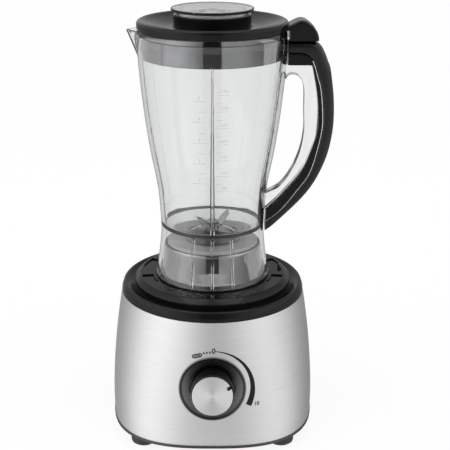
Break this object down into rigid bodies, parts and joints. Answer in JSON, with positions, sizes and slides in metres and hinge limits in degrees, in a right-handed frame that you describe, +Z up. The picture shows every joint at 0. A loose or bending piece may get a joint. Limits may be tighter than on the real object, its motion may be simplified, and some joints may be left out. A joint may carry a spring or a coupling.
{
  "type": "countertop blender",
  "caption": "Countertop blender: clear jug with black lid, filler cap and curved handle on a wide motor base with a brushed steel front, a speed knob and rubber feet.",
  "frame": {"origin": "on the motor and jug axis, at the height that the feet stand on", "axes": "+Z up along the motor axis; the speed knob faces -Y; the jug's handle is at +X and its spout at -X"},
  "size_m": [0.2168, 0.2238, 0.4152],
  "materials": {
    "black_case": "fine satin moulding",
    "brushed_front": "brushed along the horizontal",
    "gloss_black": "high gloss",
    "satin_black": "satin gloss",
    "black_rubber": "matte",
    "grey_rubber": "matte",
    "screw_steel": "plain steel",
    "blade_steel": "polished, ground edges",
    "spun_aluminium": "spun, radial sheen",
    "inner_plastic": "plain",
    "coupling_plastic": "tough nylon",
    "board": "varnished board",
    "laminations": "stacked sheet",
    "copper_wire": "varnished wire",
    "copper_bars": "bright",
    "brass_holder": "plain",
    "bronze_bush": "sintered",
    "carbon": "carbon",
    "cast_bracket": "cast",
    "clear_plastic": "clear plastic, polished"
  },
  "bodies": {
    "base": {"base_housing": "black_case", "steel_wrap": "brushed_front", "top_cover": "gloss_black", "bottom_plate": "black_case", "bottom_screws": "screw_steel", "cord_gland": "black_rubber", "knob_bezel": "gloss_black", "speed_switch": "inner_plastic", "control_board": "board", "micro_switch": "inner_plastic", "interlock_spring": "screw_steel", "stator_core": "laminations", "field_coils": "copper_wire", "motor_upper_bracket": "cast_bracket", "motor_lower_bracket": "cast_bracket", "upper_bearing": "screw_steel", "lower_bearing": "screw_steel", "brush_holders": "brass_holder", "carbon_brushes": "carbon", "motor_bushes": "black_rubber", "motor_bolts": "screw_steel", "foot_front_left": "black_rubber", "foot_front_right": "black_rubber", "foot_rear_left": "black_rubber", "foot_rear_right": "black_rubber"},
    "rotor": {"motor_shaft": "screw_steel", "armature_core": "laminations", "armature_windings": "copper_wire", "commutator": "copper_bars", "cooling_fan": "inner_plastic", "drive_coupling": "coupling_plastic"},
    "knob": {"knob_body": "gloss_black", "knob_face": "spun_aluminium", "knob_shaft": "inner_plastic"},
    "interlock": {"interlock_pin": "inner_plastic"},
    "jug": {"jug_body": "clear_plastic", "handle_cover": "satin_black", "handle_liner": "gloss_black", "handle_screw": "screw_steel", "blade_holder": "gloss_black", "jug_seal": "grey_rubber", "upper_bush": "bronze_bush", "shaft_seal": "black_rubber", "lower_bush": "bronze_bush"},
    "blades": {"blade_shaft": "blade_steel", "lower_blade": "blade_steel", "upper_blade": "blade_steel", "blade_washer": "blade_steel", "blade_nut": "blade_steel", "driven_coupling": "coupling_plastic"},
    "lid": {"lid_body": "gloss_black", "lid_seal": "black_rubber"},
    "cap": {"filler_cap": "clear_plastic"}
  },
  "joints": [
    {"name": "rotor_spin", "type": "hinge", "parent": "base", "child": "rotor", "pos_m": [0, 0, 0.085], "axis": [0, 0, 1], "continuous": true},
    {"name": "knob_turn", "type": "hinge", "parent": "base", "child": "knob", "pos_m": [0, -0.0986, 0.0735], "axis": [0, -0.9925, 0.1219], "range_deg": [-55, 98]},
    {"name": "interlock_press", "type": "slide", "parent": "base", "child": "interlock", "axis": [0, 0, 1], "range_m": [-0.0035, 0], "stiffness_N_per_m": 200, "springref_m": 0.003, "deforming": ["interlock_spring"]},
    {"name": "jug_lift", "type": "slide", "parent": "base", "child": "jug", "axis": [0, 0, 1], "range_m": [0, 0.1]},
    {"name": "blade_spin", "type": "hinge", "parent": "jug", "child": "blades", "pos_m": [0, 0, 0.19], "axis": [0, 0, 1], "continuous": true},
    {"name": "lid_lift", "type": "slide", "parent": "jug", "child": "lid", "axis": [0, 0, 1], "range_m": [0, 0.08]},
    {"name": "cap_lift", "type": "slide", "parent": "lid", "child": "cap", "axis": [0, 0, 1], "range_m": [0, 0.06]}
  ],
  "couplings": [
    {"joint": "blade_spin", "follows": "rotor_spin", "ratio": 1}
  ]
}
